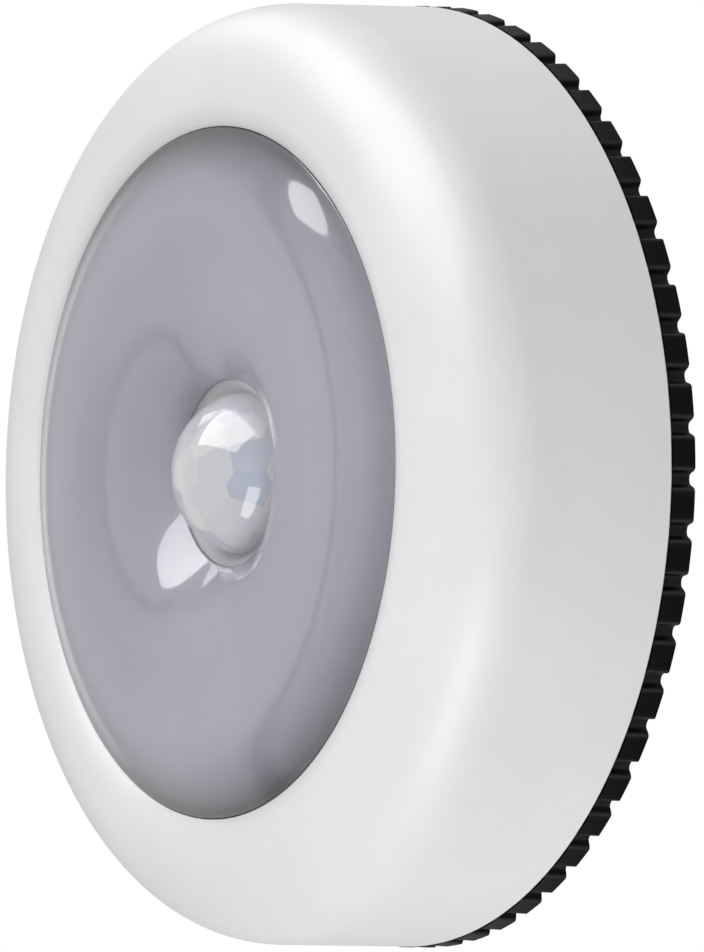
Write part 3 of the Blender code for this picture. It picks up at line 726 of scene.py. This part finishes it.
def cut_away(piece, cutter):
    """Cuts a closed shape out of a piece and keeps the result as its mesh."""
    tool = add_object("cutter", to_mesh("cutter", cutter))
    modifier = piece.modifiers.new("cut", "BOOLEAN")
    modifier.operation = "DIFFERENCE"
    modifier.solver = "EXACT"
    modifier.object = tool
    bpy.context.view_layer.update()
    shown = piece.evaluated_get(bpy.context.evaluated_depsgraph_get())
    old_meshes = (piece.data, tool.data)
    new_mesh = bpy.data.meshes.new_from_object(shown)
    piece.modifiers.clear()
    piece.data = new_mesh
    new_mesh.name = piece.name
    bpy.data.objects.remove(tool)
    for mesh in old_meshes:
        bpy.data.meshes.remove(mesh)


# Foam pad

pad_edge = 0.00005
pad_edge_rise = 0.00004
pad_inset = 0.00014
pad_hollow = 0.00006
pad_shoulder = 0.0001
pad_points = 6


def make_foam_pad():
    """The foam pad between its two adhesive films, a little hollow at the cut edge."""
    rear = pad_rear + pad_film
    front = pad_front - pad_film
    waist = pad_radius - pad_inset
    rise = front - rear - 2 * pad_shoulder
    outline = [(0, pad_rear), (pad_radius - pad_edge, pad_rear),
               (pad_radius, pad_rear + pad_edge_rise), (pad_radius, rear),
               (pad_radius - pad_inset / 2, rear + pad_hollow)]
    outline += [(waist - pad_hollow * math.sin(math.pi * k / pad_points),
                 rear + pad_shoulder + rise * k / pad_points) for k in range(pad_points + 1)]
    outline += [(pad_radius - pad_inset / 2, front - pad_hollow), (pad_radius, front),
                (pad_radius, pad_front), (0, pad_front)]
    shape = spun(outline, plate_steps, closed=False)
    add_piece("foam_pad", finish_mesh("foam_pad", shape), "base", foam, "foam", "adhesive_pad")


# Diffuser

well_foot = 0.0081
well_radius = 0.0085
throat = 0.02049
throat_round = 0.00065
throat_points = 9
# The rise of the face at radii from the axis
dish_slopes = ((0.0085, 0.877), (0.0115, 0.568), (0.0140, 0.238), (0.0160, 0.119), (0.0180, 0.089),
               (0.0200, 0.081), (0.0220, 0.047), (0.0240, -0.049), (0.0260, -0.250), (0.0270, -0.335),
               (0.0280, -0.413), (0.0290, -0.433), (0.0304, -0.270))
diffuser_wall = 0.0012
throat_wall = 0.0009
back_offset = 0.0004
diffuser_gap = 0.00007
rim_round = 0.00008
diffuser_steps = 256
# The face is worked out finely and drawn with every third point, its back with fewer still
dish_count = 240
face_points = slice(None, None, 3)
back_points = slice(8, -6, 4)


def dish_slope(radius):
    """The rise of the diffuser's face at a radius, on a smooth line through its stations."""
    stations = dish_slopes
    last = len(stations) - 2
    i = min(max(sum(1 for station in stations if station[0] <= radius) - 1, 0), last)
    r0, s0 = stations[i]
    r1, s1 = stations[i + 1]
    before = stations[max(i - 1, 0)]
    after = stations[min(i + 2, last + 1)]
    width = r1 - r0
    lead_in = (s1 - before[1]) / (r1 - before[0]) * width
    lead_out = (after[1] - s0) / (after[0] - r0) * width
    t = min(max((radius - r0) / width, 0.0), 1.0)
    return (s0 * (1 + 2 * t) * (1 - t) ** 2 + lead_in * t * (1 - t) ** 2
            + s1 * t * t * (3 - 2 * t) + lead_out * t * t * (t - 1))


def dish_face(rim):
    """The diffuser's face as (radius, depth) points from the well out to the rim."""
    points = [(well_radius, throat)]
    step = (rim - well_radius) / dish_count
    for i in range(dish_count):
        radius, depth = points[-1]
        points.append((radius + step, depth + dish_slope(radius + step / 2) * step))
    return points


def make_diffuser():
    """The milky ring: a trumpet funnel, a broad crest and a shoulder that flattens to the rim."""
    rim = lip_radius - diffuser_gap
    flange_front = crown - lip_drop - lip_thickness - diffuser_gap
    face = dish_face(rim - rim_round)[face_points]
    top = face[-1][1]
    edge = [(rim, flange_front), (rim, top - rim_round * 1.2),
            (rim - rim_round * 0.3, top - rim_round * 0.35)]
    tilt = math.atan(dish_slopes[0][1])
    bend = (well_radius + throat_round * math.sin(tilt), throat - throat_round * math.cos(tilt))
    well = arc(bend, throat_round, 90 + math.degrees(tilt), 180, throat_points)[1:]
    well.append((well_foot, diffuser_rear))
    back_foot = well_foot + diffuser_wall
    back = [(back_foot, diffuser_rear), (back_foot, throat - throat_wall)]
    back += [(radius + back_offset, depth - diffuser_wall) for radius, depth in face[back_points]]
    flange_rear = flange_front - diffuser_wall
    back += [(rim - diffuser_wall, flange_rear), (flange_radius, flange_rear),
             (flange_radius, flange_front)]
    shape = spun(edge + face[::-1] + well + back, diffuser_steps)
    add_piece("diffuser_dish", finish_mesh("diffuser_dish", shape), "lamp", milky_plastic,
              "milky_plastic", "diffuser")


# Sensor lens

lens_radius = 0.0074
lens_middle = lens_apex - lens_radius
facet_radius = 0.0063
# Rings of flat cells: degrees off the axis, number of cells, degrees of turn
cell_rings = ((31.0, 8, 9.0), (56.0, 14, 14.6), (83.0, 17, 5.0))
cell_cuts = 7
usual_tone = 0.2
tone_turn = 2.4
lens_edge_degrees = 20
# Cells painted with the shade of the dark inside showing through them, by number, with how strongly
painted_dark_cells = {0: 0.0, 9: 0.85, 22: 1.0, 21: 0.3, 10: 0.1}
collar_depth = 0.0202
collar_radius = 0.00833
collar_foot = 0.0192
collar_lap = 0.0003
collar_fillet = 0.0004
collar_clear = 0.0002
collar_drop = 0.0001


def cell_directions():
    """The way each lens cell faces: one at the apex, then the rings."""
    directions = [Vector((0, -1, 0))]
    for off, count, turn in cell_rings:
        for i in range(count):
            around = math.radians(turn + 360 * i / count)
            out = math.sin(math.radians(off))
            directions.append(Vector((out * math.cos(around), -math.cos(math.radians(off)),
                                      out * math.sin(around))))
    return directions


def cell_tone_and_shade(number):
    """How dark and blue a cell is painted: listed ones with painted shade, the rest a little unlike each
    other.
    """
    return painted_dark_cells.get(number, usual_tone + usual_tone * math.sin(tone_turn * number))


def facet_shell(centre):
    """A dome cut like a gem, open at the rear, with each flat cell numbered and finely divided."""
    shape = bmesh.new()
    bmesh.ops.create_cube(shape, size=4 * lens_radius)
    bmesh.ops.translate(shape, vec=centre, verts=shape.verts)
    layer = shape.faces.layers.int.new("cell")
    for face in shape.faces:
        face[layer] = -1
    for number, direction in enumerate(cell_directions()):
        cut = bmesh.ops.bisect_plane(shape, geom=whole(shape), plane_no=direction, clear_outer=True,
                                     plane_co=centre + direction * facet_radius)
        filled = bmesh.ops.contextual_create(shape, geom=made(cut, bmesh.types.BMEdge, "geom_cut"))
        for face in filled["faces"]:
            face[layer] = number
    bmesh.ops.bisect_plane(shape, geom=whole(shape), plane_co=centre, plane_no=(0, 1, 0),
                           clear_outer=True)
    bmesh.ops.delete(shape, geom=[face for face in shape.faces if face[layer] < 0], context="FACES")
    bmesh.ops.poke(shape, faces=shape.faces[:])
    bmesh.ops.subdivide_edges(shape, edges=shape.edges[:], cuts=cell_cuts, use_grid_fill=True)
    bmesh.ops.recalc_face_normals(shape, faces=shape.faces)
    return shape


def mark_cells(shape, centre):
    """Stores each cell's normal, its tone and painted shade, and how far inside its cell each point lies.
    """
    normals = shape.faces.layers.float_vector.new("cell_normal")
    layer = shape.faces.layers.int["cell"]
    tones_and_shade = shape.faces.layers.float.new("cell_tone_and_shade")
    insides = shape.verts.layers.float.new("cell_inside")
    cells = cell_directions()
    for face in shape.faces:
        face[normals] = cells[face[layer]]
        face[tones_and_shade] = cell_tone_and_shade(face[layer])
    for vert in shape.verts:
        along = (vert.co - centre).normalized()
        nearest, second = sorted((along.dot(cell) for cell in cells), reverse=True)[:2]
        vert[insides] = nearest - second


def draw_out(shape, rim):
    """Grows a ring of faces from a rim, and gives the new points and the new rim."""
    grown = bmesh.ops.extrude_edge_only(shape, edges=rim)
    new_rim = [edge for edge in made(grown, bmesh.types.BMEdge) if edge.is_boundary]
    return made(grown, bmesh.types.BMVert), new_rim


def make_lens():
    """The domed lens: smooth outside, with its flat cells moulded on the inside."""
    centre = Vector((0, -lens_middle, 0))
    shape = facet_shell(centre)
    mark_cells(shape, centre)
    inner = shape.faces[:]
    copied = bmesh.ops.duplicate(shape, geom=whole(shape))
    outer_verts = made(copied, bmesh.types.BMVert)
    for vert in outer_verts:
        vert.co = centre + (vert.co - centre).normalized() * lens_radius
    bmesh.ops.reverse_faces(shape, faces=inner)
    inner_rim = [edge for face in inner for edge in face.edges if edge.is_boundary]
    outer_set = set(outer_verts)
    rim = [edge for edge in shape.edges if edge.is_boundary and edge.verts[0] in outer_set]
    for edge in inner_rim + rim:
        for vert in edge.verts:
            vert.co.y = -lens_middle
    for depth in (lens_middle, lens_rear):
        verts, rim = draw_out(shape, rim)
        for vert in verts:
            flat = Vector((vert.co.x, 0, vert.co.z)).normalized() * lens_flange_radius
            vert.co = (flat.x, -depth, flat.z)
    verts, foot = draw_out(shape, inner_rim)
    for vert in verts:
        vert.co.y = -lens_rear
    bmesh.ops.bridge_loops(shape, edges=rim + foot)
    bmesh.ops.remove_doubles(shape, verts=shape.verts, dist=weld / 10)
    bmesh.ops.recalc_face_normals(shape, faces=shape.faces)
    add_piece("lens_dome", finish_mesh("lens_dome", shape, lens_edge_degrees), "lamp", lens_plastic,
              "lens_plastic", "sensor_lens")


def make_collar():
    """The sloping ring that closes the well, from the dome's foot up to the well's lip."""
    root = math.sqrt(lens_radius ** 2 - (collar_foot - lens_middle) ** 2)
    rear = lens_middle + collar_lap
    outline = rounded([(root - collar_lap, rear, 0), (collar_radius, rear, 0),
                       (collar_radius, collar_depth, 0),
                       (root + collar_clear, collar_foot, collar_fillet),
                       (root - collar_lap, collar_foot - collar_drop, 0)])
    ring = spun(outline, diffuser_steps)
    add_piece("lens_collar", finish_mesh("lens_collar", ring), "lamp", collar_plastic, "lens_plastic",
              "sensor_lens")


# The CAD nodes that stay as they are

# The reflector is the one CAD node left with the white slot
slot_materials = {
    "black_plastic": black_plastic, "white_plastic": reflector_white, "tray_plastic": tray_plastic,
    "board_green": board_green, "nickel": nickel, "cell_jacket": cell_jacket, "led_yellow": led_yellow,
    "chip_black": chip_black, "dark_window": dark_window, "clear_resin": clear_resin}


def finish_kept_nodes():
    """Gives every CAD node that still shows the finish of its record slot."""
    slots = {part["node"]: part["material_slot"] for part in frame["record"]["subparts"]}
    for node, thing in frame["nodes"].items():
        if not thing.hide_render:
            thing.data.materials.clear()
            thing.data.materials.append(slot_materials[slots[node]])


# Stage, light and camera

def make_camera():
    """The camera at the photograph's place."""
    data = bpy.data.cameras.new("photo_camera")
    data.sensor_width = sensor_size
    data.lens = sensor_size * focal_px / frame_height_px
    data.clip_start = 0.01
    camera = add_object("photo_camera", data)
    way = way_to(camera_azimuth, camera_elevation)
    camera.location = camera_aim + way * camera_distance
    face_object(camera, way, camera_roll)
    bpy.context.scene.camera = camera


# Name, azimuth, elevation and roll in degrees, distance, width, height, level, level in
# reflections. The strip at the left is there for reflections alone.
lamps = (("overhead_softbox", -6.0, 53.15, 2.6, 0.8, 1.036, 0.687, 1.82, 6.0),
         ("low_panel", 52, -40, -15, 0.28, 0.095, 0.235, 3.9, 6.0),
         ("left_strip", -82, 42, 0, 0.8, 0.40, 0.27, 0.0, 2.8))
# The lamp for reflections stands a little behind its twin, or each would hide the other
sheen_setback = 1.02


def softbox(name, azimuth, elevation, roll, distance, width, height, level, sheen):
    """A rectangular lamp that looks at the object, as a pair: one gives light, one reflections."""
    way = way_to(math.radians(azimuth), math.radians(elevation))
    for part, radiance, place in (("light", level, way * distance),
                                  ("sheen", sheen, way * distance * sheen_setback)):
        data = bpy.data.lights.new(f"{name}_{part}", "AREA")
        data.shape = "RECTANGLE"
        data.size = width
        data.size_y = height
        data.energy = radiance * width * height * math.pi
        lamp = add_object(f"{name}_{part}", data)
        lamp.visible_camera = False
        lamp.visible_diffuse = part == "light"
        lamp.visible_glossy = part == "sheen"
        lamp.visible_transmission = part == "sheen"
        lamp.location = place
        face_object(lamp, way, math.radians(roll))


# The white panels that reflections show. Two of them meet in a dim joint, and they're dimmer at
# the left and overhead in front. Widths and spans are parts of a unit way from the object.
joint_turn = math.radians(-48)
joint_normal = (math.cos(joint_turn), math.sin(joint_turn), 0)
joint_width = 0.1
joint_level = 0.35
left_way = (-0.90, 0.43, 0)
left_span = (0.53, 0.98)
left_level = 0.45
ceiling_span = (0.28, 0.5)
ceiling_level = 0.5
ceiling_fade = (-0.1, 0.3)


def make_world():
    """Even studio light, plain white behind the object, and white panels for its reflections."""
    world = bpy.data.worlds.new("studio")
    bpy.context.scene.world = world
    world.use_nodes = True
    nodes = Nodes(world.node_tree)
    ambient = nodes.feed(world.node_tree.nodes["Background"], Color=(0.96, 0.97, 1.0, 1), Strength=0.50)
    way = nodes.add("ShaderNodeTexCoord").outputs["Generated"]
    _, rearward, upward = nodes.split(way)
    smooth = {"curve": "SMOOTHSTEP"}
    off_joint = nodes.vector("DOT_PRODUCT", way, joint_normal)
    joint = nodes.ramp(nodes.math("ABSOLUTE", off_joint), 0.0, joint_width, joint_level, **smooth)
    leftward = nodes.vector("DOT_PRODUCT", way, left_way)
    left_panel = nodes.ramp(leftward, *left_span, 1.0, left_level, **smooth)
    over_rear = nodes.ramp(rearward, *ceiling_fade, ceiling_level, 1.0, **smooth)
    ceiling = nodes.ramp(upward, *ceiling_span, 1.0, over_rear, **smooth)
    panels = nodes.math("MULTIPLY", joint, nodes.math("MULTIPLY", left_panel, ceiling))
    path = nodes.add("ShaderNodeLightPath").outputs
    shiny = nodes.math("MAXIMUM", path["Is Glossy Ray"], path["Is Transmission Ray"])
    seen = nodes.math("MAXIMUM", shiny, path["Is Camera Ray"])
    white = nodes.feed(nodes.add("ShaderNodeBackground"), Color=(1, 1, 1, 1),
                       Strength=nodes.math("MAXIMUM", panels, path["Is Camera Ray"]))
    mix = nodes.add("ShaderNodeMixShader")
    nodes.give(mix.inputs["Fac"], seen)
    nodes.link(ambient.outputs["Background"], mix.inputs[1])
    nodes.link(white.outputs["Background"], mix.inputs[2])
    nodes.link(mix.outputs["Shader"], world.node_tree.nodes["World Output"].inputs["Surface"])


floor_radius = 0.36
floor_height = -0.30
floor_sides = 96


def make_floor():
    """A pale round floor under the object, out of the photograph's view."""
    shape = bmesh.new()
    bmesh.ops.create_circle(shape, cap_ends=True, segments=floor_sides, radius=floor_radius)
    bmesh.ops.translate(shape, vec=(0, 0, floor_height), verts=shape.verts)
    mesh = finish_mesh("floor", shape)
    floor = add_object("floor", mesh)
    material, nodes, shader = new_material("floor_white", Roughness=0.9)
    nodes.feed(shader, Base_Color=mottled(nodes, (0.86, 0.86, 0.86), (0.84, 0.84, 0.84), 60.0))
    mesh.materials.append(material)


make_bezel()
make_grip_band()
make_base_plate()
make_foam_pad()
make_diffuser()
make_lens()
make_collar()
finish_kept_nodes()
make_world()
make_floor()
for lamp in lamps:
    softbox(*lamp)
make_camera()
bpy.context.scene.view_settings.view_transform = "Standard"
